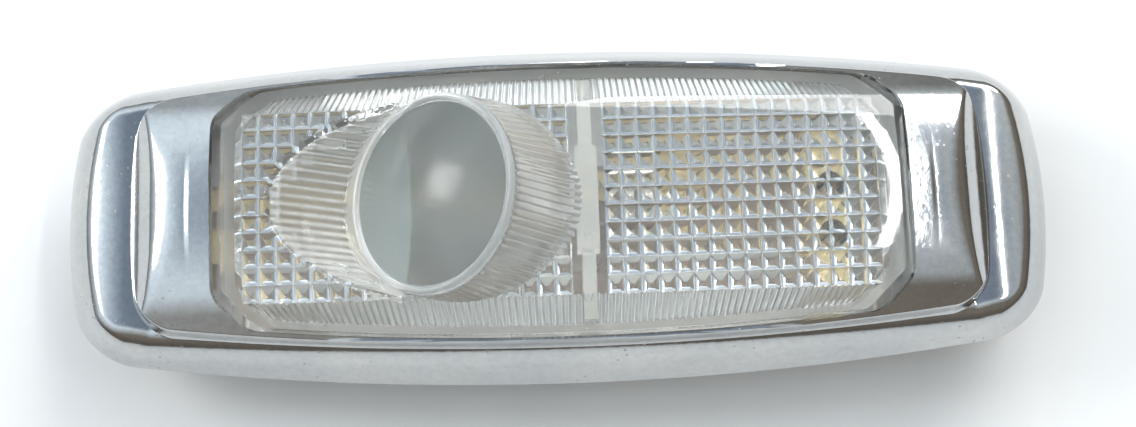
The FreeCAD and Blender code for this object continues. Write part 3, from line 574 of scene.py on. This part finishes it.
bore_radius = collar_radius - collar_wall
back_rings = [eye_point(bore_radius * share, angles, -eye_depth) for share in back_shares]
back_edge = back_rings[-1]
wall_drop = eye_depth + np.maximum(back_edge[:, 2] - prism_z, 0.0) / math.cos(eye_tilt)
bore_wall = bore_radius - bore_rib_depth * rib_wave
back_rings.append(eye_point(bore_wall, angles, -eye_depth))
back_rings.append(eye_point(bore_wall, angles, -wall_drop))
start = add_points(np.concatenate(back_rings))
faces += ring_faces(len(back_rings) - 1, eye_rays, start)
# The back of the bull's-eye takes the dark tint, painted shade for the lamp's dim inside seen through the
# eye.
set_finish(eye_back_painted_shade)
faces += ring_faces(2, eye_rays, start + (len(back_rings) - 2) * eye_rays)
set_finish(ribbed_satin)


def under_eye(x, y):
    """True where the prisms give way to the bull's-eye or the scoop."""
    bored = eye_radius_at(x, y, prism_z) < bore_radius + bore_margin
    scooped = lens_top(x, y, False) < face_at(x, y) - scoop_edge
    return bored | scooped


for column in range(prism_columns):
    for row in range(prism_rows):
        left = -prism_half_x + column * prism_pitch
        front = -prism_half_y + row * prism_pitch
        corner_x = np.array([left, left + prism_pitch, left + prism_pitch, left])
        corner_y = np.array([front, front, front + prism_pitch, front + prism_pitch])
        if under_eye(corner_x, corner_y).all():
            continue
        by_web = abs(left + prism_pitch / 2 - web_x) < prism_pitch / 2 + web_margin
        base = np.column_stack((corner_x, corner_y, np.full(4, prism_z)))
        if by_web:
            start = add_points(base)
            faces.append((start, start + 3, start + 2, start + 1))
            continue
        shrink = prism_flat / prism_pitch
        tip_x = left + prism_pitch / 2 + (corner_x - left - prism_pitch / 2) * shrink
        tip_y = front + prism_pitch / 2 + (corner_y - front - prism_pitch / 2) * shrink
        start = add_points(base)
        add_points(np.column_stack((tip_x, tip_y, np.full(4, prism_z - prism_depth))))
        for side in range(4):
            following = (side + 1) % 4
            faces.append((start + side, start + 4 + side, start + 4 + following, start + following))
        faces.append((start + 4, start + 7, start + 6, start + 5))

set_finish(prism_faces)
shell_x = np.linspace(-prism_half_x, eye_x + collar_radius, shell_columns)
shell_y = np.linspace(-scoop_radius, scoop_radius, shell_rows)
shell_grid_x, shell_grid_y = np.meshgrid(shell_x, shell_y, indexing="ij")
shell_z = lens_top(shell_grid_x, shell_grid_y) - lens_wall
start = add_points(np.stack((shell_grid_x, shell_grid_y, shell_z), axis=-1))
cut_away = lens_top(shell_grid_x, shell_grid_y, False) < face_at(shell_grid_x, shell_grid_y) - scoop_edge
kept = cut_away & (eye_depth_at(shell_grid_x, shell_z) < eye_depth + lens_wall)
for column in range(shell_columns - 1):
    for row in range(shell_rows - 1):
        if kept[column:column + 2, row:row + 2].any():
            corner = start + column * shell_rows + row
            faces.append((corner, corner + 1, corner + shell_rows + 1, corner + shell_rows))
smooth_runs.append((len(finish), len(faces)))
set_finish(ribbed_satin)


def add_box(low, high):
    """A closed box of the lens's own material."""
    corners = [(x, y, z) for x in (low[0], high[0]) for y in (low[1], high[1]) for z in (low[2], high[2])]
    start = add_points(corners)
    for face in ((0, 1, 3, 2), (4, 6, 7, 5), (0, 4, 5, 1), (2, 3, 7, 6), (0, 2, 6, 4), (1, 5, 7, 3)):
        faces.append(tuple(start + index for index in face))


def add_rod(centre, radius, length, axis):
    """A closed round rod from a centre along Y or Z."""
    turn = np.linspace(0.0, 2 * math.pi, rod_sides, endpoint=False)
    across = radius * np.cos(turn)
    upward = radius * np.sin(turn)
    level = np.zeros(rod_sides)
    ends = []
    for reach in (0.0, length):
        if axis == "Y":
            end = np.column_stack((upward, level + reach, across))
        else:
            end = np.column_stack((across, upward, level + reach))
        ends.append(end + np.array(centre))
    start = add_points(np.concatenate(ends))
    faces.extend(ring_faces(2, rod_sides, start))
    faces.append(tuple(start + index for index in reversed(range(rod_sides))))
    faces.append(tuple(start + rod_sides + index for index in range(rod_sides)))


web_reach = lens_half_width - skirt_wall - web_end_gap
web_top = prism_z - hair_gap
for side in (-1, 1):
    near, far = sorted((side * web_notch, side * web_reach))
    add_box((web_x - web_half, near, skirt_z), (web_x + web_half, far, web_top))
add_box((web_x - web_block_half, -web_notch, prism_z - web_block_depth),
        (web_x + web_block_half, web_notch, web_top))
set_finish(ribbed_satin)
lug_out = lens_half_width - lug_inset
for side in (-1, 1):
    near, far = sorted((side * (lens_half_width - skirt_wall), side * lug_out))
    add_box((web_x - lug_half, near, lug_z), (web_x + lug_half, far, skirt_z - hair_gap))
    pin_start = lug_out if side > 0 else -lens_half_width - pin_reach
    add_rod((web_x, pin_start, pin_z), pin_radius, pin_reach + lug_inset, "Y")
bridge_low, bridge_high = (corner / MM for corner in map(np.array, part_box("contact_bridge")))
bridge_middle = (bridge_low + bridge_high) / 2
for side in (-1, 1):
    peg = (bridge_middle[0], bridge_middle[1] + side * peg_spread)
    add_rod((*peg, bridge_high[2]), peg_radius, prism_z - bridge_high[2], "Z")
    add_rod((*peg, bridge_low[2] - tip_drop), tip_radius, tip_length, "Z")
set_finish(clear)

lens = build_mesh("lens_moulding", np.concatenate(points), faces)
shading = np.zeros(len(faces), dtype=bool)
for first, last in smooth_runs:
    shading[first:last] = True
lens.data.polygons.foreach_set("use_smooth", shading)
lens.data.set_sharp_from_angle(angle=math.radians(lens_crease_angle))


def clear_moulding(name, tint, ior, rough_low, rough_high, pass_share, clarity=1.0):
    """Clear moulding with faint scratches and dust, which lets lamp light through to what is behind it."""
    material, tree, shader = start_material(name)
    shader.inputs["Base Color"].default_value = (*tint, 1)
    shader.inputs["Transmission Weight"].default_value = clarity
    shader.inputs["IOR"].default_value = ior
    point = object_point(tree)
    dust = noise(tree, point, 260.0, 5.0)
    rough = ramp(tree, dust, 0.45, 0.75, (rough_low,) * 3, (rough_high,) * 3)
    tree.links.new(rough, shader.inputs["Roughness"])
    bump(tree, shader, noise(tree, point, 420.0, 3.0), 0.03, 0.0001)
    through = tree.nodes.new("ShaderNodeBsdfTransparent")
    through.inputs["Color"].default_value = (pass_share, pass_share, pass_share, 1)
    path = tree.nodes.new("ShaderNodeLightPath")
    mixed = tree.nodes.new("ShaderNodeMixShader")
    tree.links.new(path.outputs["Is Shadow Ray"], mixed.inputs[0])
    tree.links.new(shader.outputs["BSDF"], mixed.inputs[1])
    tree.links.new(through.outputs["BSDF"], mixed.inputs[2])
    tree.links.new(mixed.outputs["Shader"], tree.nodes["Material Output"].inputs["Surface"])
    return material


for name, tint, rough_low, rough_high, clarity in (
        ("clear_acrylic", (0.94, 0.96, 0.95), 0.02, 0.07, 1.0),
        # The dark grey-green tint on the next line is for the back of the bull's-eye: its faint green is
        # the acrylic's own, its darkness is painted shade standing for the dim inside of the lamp seen
        # through the eye.
        ("eye_back_painted_shade", (0.15, 0.19, 0.19), 0.4, 0.55, 0.95),
        ("ribbed_satin", (0.74, 0.73, 0.69), 0.16, 0.3, 0.7),
        ("prism_faces", (0.86, 0.87, 0.85), 0.06, 0.15, 0.92),
        ("eye_face", (0.92, 0.95, 0.94), 0.2, 0.28, 1.0),
        ("eye_bead", (0.8, 0.82, 0.81), 0.08, 0.16, 0.7)):
    lens.data.materials.append(
        clear_moulding(name, tint, acrylic_ior, rough_low, rough_high, lamp_light_share, clarity))
lens.data.polygons.foreach_set("material_index", np.array(finish, dtype=np.int32))
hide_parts("lens")
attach(lens, "lens")


# Tray and screws: the tray is one zinc-plated steel pressing, screwed to the bezel from behind.
# The plating is dull grey with a faint yellow bloom from its passivation.
zinc_grey = (0.5, 0.5, 0.5)
zinc_bloom = (0.6, 0.59, 0.55)


def finish_node(name, material):
    """Give a solid of the frame its finish."""
    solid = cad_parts[name]
    if not solid.material_slots:
        solid.data.materials.append(material)
    for place in solid.material_slots:
        place.material = material


def zinc_steel():
    material, tree, shader = start_material("zinc_steel")
    shader.inputs["Metallic"].default_value = 0.85
    point = object_point(tree)
    bloom = ramp(tree, noise(tree, point, 70.0, 6.0), 0.35, 0.7, zinc_grey, zinc_bloom)
    spangle = ramp(tree, specks(tree, point, 420.0), 0.1, 0.7, (0.92, 0.92, 0.92), (1, 1, 1))
    tree.links.new(mix_colours(tree, 1.0, bloom, spangle, "MULTIPLY"), shader.inputs["Base Color"])
    rough = ramp(tree, noise(tree, point, 300.0, 3.0), 0.3, 0.7, (0.38,) * 3, (0.55,) * 3)
    tree.links.new(rough, shader.inputs["Roughness"])
    bump(tree, shader, noise(tree, point, 1400.0, 2.0), 0.12, 0.0001)
    return material


zinc = zinc_steel()
finish_node("base_tray", zinc)
finish_node("bezel_screws", zinc)


# Insulator strip: a board of brown paper laminate that lies on the tray's floor and runs out of its slot.
# Fine fibres show along it.
board_dark = (0.16, 0.11, 0.08)
board_light = (0.33, 0.26, 0.2)
fibre_scale = (120.0, 1500.0, 1500.0)


def laminate_board():
    material, tree, shader = start_material("laminate_board")
    point = object_point(tree)
    stretch = add_node(tree, "ShaderNodeMapping")
    stretch.inputs["Scale"].default_value = fibre_scale
    tree.links.new(point, stretch.inputs["Vector"])
    fibre = noise(tree, stretch.outputs["Vector"], 1.0, 5.0)
    colour = ramp(tree, fibre, 0.3, 0.75, board_dark, board_light)
    tree.links.new(colour, shader.inputs["Base Color"])
    rough = ramp(tree, fibre, 0.3, 0.7, (0.42,) * 3, (0.6,) * 3)
    tree.links.new(rough, shader.inputs["Roughness"])
    bump(tree, shader, fibre, 0.15, 0.0001)
    return material


finish_node("insulator_strip", laminate_board())


# Brass pieces: feed and door tracks, bulb clips, rivets, contact studs and the bridge under the lens.
# They are stamped or turned from bare brass, dulled brown in patches.
brass_bright = (0.66, 0.53, 0.3)
brass_brown = (0.4, 0.3, 0.17)


def brass_strip():
    material, tree, shader = start_material("brass_strip")
    shader.inputs["Metallic"].default_value = 1.0
    point = object_point(tree)
    dull = noise(tree, point, 160.0, 6.0)
    colour = ramp(tree, dull, 0.35, 0.75, brass_bright, brass_brown)
    tree.links.new(colour, shader.inputs["Base Color"])
    tree.links.new(ramp(tree, dull, 0.3, 0.8, (0.22,) * 3, (0.5,) * 3), shader.inputs["Roughness"])
    bump(tree, shader, noise(tree, point, 1200.0, 2.0), 0.1, 0.0001)
    return material


brass = brass_strip()
for name in ("terminal_feed", "terminal_door", "bulb_clip_left", "bulb_clip_right", "clip_rivets",
             "contact_stud_door", "contact_stud_earth", "contact_bridge"):
    finish_node(name, brass)


# Festoon bulb: a clear glass tube with a nickelled cap at each end and a tungsten filament.
# It lies along the lamp and is held by its cones in the two clips.
nickel_bright = (0.78, 0.75, 0.69)
nickel_stain = (0.55, 0.5, 0.42)
wire_dark = (0.22, 0.22, 0.23)
wire_light = (0.4, 0.4, 0.41)
glass_tint = (0.97, 0.97, 0.96)
glass_ior = 1.5


def plated_cap():
    material, tree, shader = start_material("nickel_cap")
    shader.inputs["Metallic"].default_value = 1.0
    point = object_point(tree)
    stain = noise(tree, point, 380.0, 5.0)
    colour = ramp(tree, stain, 0.3, 0.75, nickel_bright, nickel_stain)
    tree.links.new(colour, shader.inputs["Base Color"])
    tree.links.new(ramp(tree, stain, 0.3, 0.8, (0.2,) * 3, (0.42,) * 3), shader.inputs["Roughness"])
    return material


def tungsten_wire():
    material, tree, shader = start_material("tungsten")
    shader.inputs["Metallic"].default_value = 1.0
    grain = noise(tree, object_point(tree), 2500.0, 3.0)
    colour = ramp(tree, grain, 0.3, 0.7, wire_dark, wire_light)
    tree.links.new(colour, shader.inputs["Base Color"])
    tree.links.new(ramp(tree, grain, 0.3, 0.7, (0.35,) * 3, (0.55,) * 3), shader.inputs["Roughness"])
    return material


cap_finish = plated_cap()
finish_node("bulb_cap_left", cap_finish)
finish_node("bulb_cap_right", cap_finish)
finish_node("bulb_filament", tungsten_wire())
finish_node("bulb_glass", clear_moulding("bulb_glass", glass_tint, glass_ior, 0.01, 0.05, 0.9))


# Floor: a sheet of plain white paper under the lamp.
# It is wide enough to fill the view and the reflections in the plate.
floor_half = 900.0
floor_z = -0.2
paper_dim = (0.84, 0.835, 0.82)
paper_bright = (0.88, 0.875, 0.86)


def white_paper():
    material, tree, shader = start_material("white_paper")
    shader.inputs["Roughness"].default_value = 0.9
    fibre = noise(tree, object_point(tree), 90.0, 5.0)
    colour = ramp(tree, fibre, 0.2, 0.8, paper_dim, paper_bright)
    tree.links.new(colour, shader.inputs["Base Color"])
    return material


floor_corners = [(-floor_half, -floor_half, floor_z), (floor_half, -floor_half, floor_z),
                 (floor_half, floor_half, floor_z), (-floor_half, floor_half, floor_z)]
floor = build_mesh("paper_floor", floor_corners, [(0, 1, 2, 3)])
floor.data.materials.append(white_paper())


# Light: a room that is bright towards a window high on the left, dim on the right, in front and straight
# overhead, with a long strip lamp over the right end, a soft panel on the left and a broad one behind.
window_direction = Vector((-0.4, 0.35, 0.85)).normalized()
overhead_direction = Vector((0.0, 0.23, 0.97)).normalized()
dim_room = (0.24, 0.215, 0.18)
window_light = (1.15, 1.32, 1.45)
overhead_shade = (0.25, 0.27, 0.31)
room_strength = 1.1


def room_light():
    world = bpy.data.worlds.new("room")
    bpy.context.scene.world = world
    world.use_nodes = True
    tree = world.node_tree
    shade = tree.nodes["Background"]
    toward = tree.nodes.new("ShaderNodeTexCoord").outputs["Generated"]
    window = add_node(tree, "ShaderNodeVectorMath", operation="DOT_PRODUCT")
    tree.links.new(toward, window.inputs[0])
    window.inputs[1].default_value = window_direction
    dome = ramp(tree, window.outputs["Value"], 0.26, 0.98, dim_room, window_light)
    split = tree.nodes.new("ShaderNodeSeparateXYZ")
    tree.links.new(toward, split.inputs["Vector"])
    skirting = ramp(tree, split.outputs["Z"], 0.05, 0.4, (0.55, 0.55, 0.55), (1, 1, 1))
    overhead = add_node(tree, "ShaderNodeVectorMath", operation="DOT_PRODUCT")
    tree.links.new(toward, overhead.inputs[0])
    overhead.inputs[1].default_value = overhead_direction
    patch = ramp(tree, overhead.outputs["Value"], 0.84, 0.985, (1, 1, 1), overhead_shade)
    room = mix_colours(tree, 1.0, dome, skirting, "MULTIPLY")
    tree.links.new(mix_colours(tree, 1.0, room, patch, "MULTIPLY"), shade.inputs["Color"])
    shade.inputs["Strength"].default_value = room_strength


def panel(name, place, target, along, width, height, watts):
    """A rectangular lamp that looks at a target, with its height along a direction."""
    light = bpy.data.lights.new(name, "AREA")
    light.shape = "RECTANGLE"
    light.size = width
    light.size_y = height
    light.energy = watts
    lamp = bpy.data.objects.new(name, light)
    back = (Vector(place) - Vector(target)).normalized()
    side = Vector(along).cross(back).normalized()
    turn = Matrix((side, back.cross(side), back)).transposed().to_4x4()
    lamp.matrix_world = Matrix.Translation(place) @ turn
    bpy.context.scene.collection.objects.link(lamp)


room_light()
panel("strip_lamp", place=(0.216, 0.14, 0.5), target=(0.04, 0.0, 0.025), along=(0.06, 1, 0),
      width=0.008, height=0.5, watts=0.5)
panel("left_panel", place=(-0.48, 0.16, 0.38), target=(0.0, 0.0, 0.02), along=(0, 0, 1),
      width=0.2, height=0.2, watts=1.2)
panel("back_panel", place=(0.3, 0.6, 0.5), target=(0.0, 0.0, 0.02), along=(0, 0, 1),
      width=0.6, height=0.25, watts=3.9)

# Camera: held nearly overhead, a little to the near side, and turned slightly so that the right end rises.
# The focal length is worked out from the scale of the rim in the 1136 by 427 image.
picture_width = 1136.0
focal_pixels = 1998.0
sensor_width = 36.0
camera_distance = 276.9
camera_lean = math.radians(13.2)
camera_side = math.radians(-1.53)
camera_roll = math.radians(-2.12)
aim_point = Vector((1.09, 0.19, rim_z))
back = Vector((math.sin(camera_side), -math.sin(camera_lean), 0.0))
back.z = math.sqrt(1 - back.length_squared)
right = Vector((0, 1, 0)).cross(back).normalized()
right = Matrix.Rotation(camera_roll, 3, back) @ right
up = back.cross(right)
camera_place = (aim_point + back * camera_distance) * MM
camera = bpy.data.objects.new("camera", bpy.data.cameras.new("camera"))
camera.data.sensor_fit = "HORIZONTAL"
camera.data.sensor_width = sensor_width
camera.data.lens = focal_pixels / picture_width * sensor_width
camera.data.clip_start = 0.01
rotation = Matrix((right, up, back)).transposed().to_4x4()
camera.matrix_world = Matrix.Translation(camera_place) @ rotation
bpy.context.scene.collection.objects.link(camera)
bpy.context.scene.camera = camera
bpy.context.scene.view_settings.view_transform = "Standard"
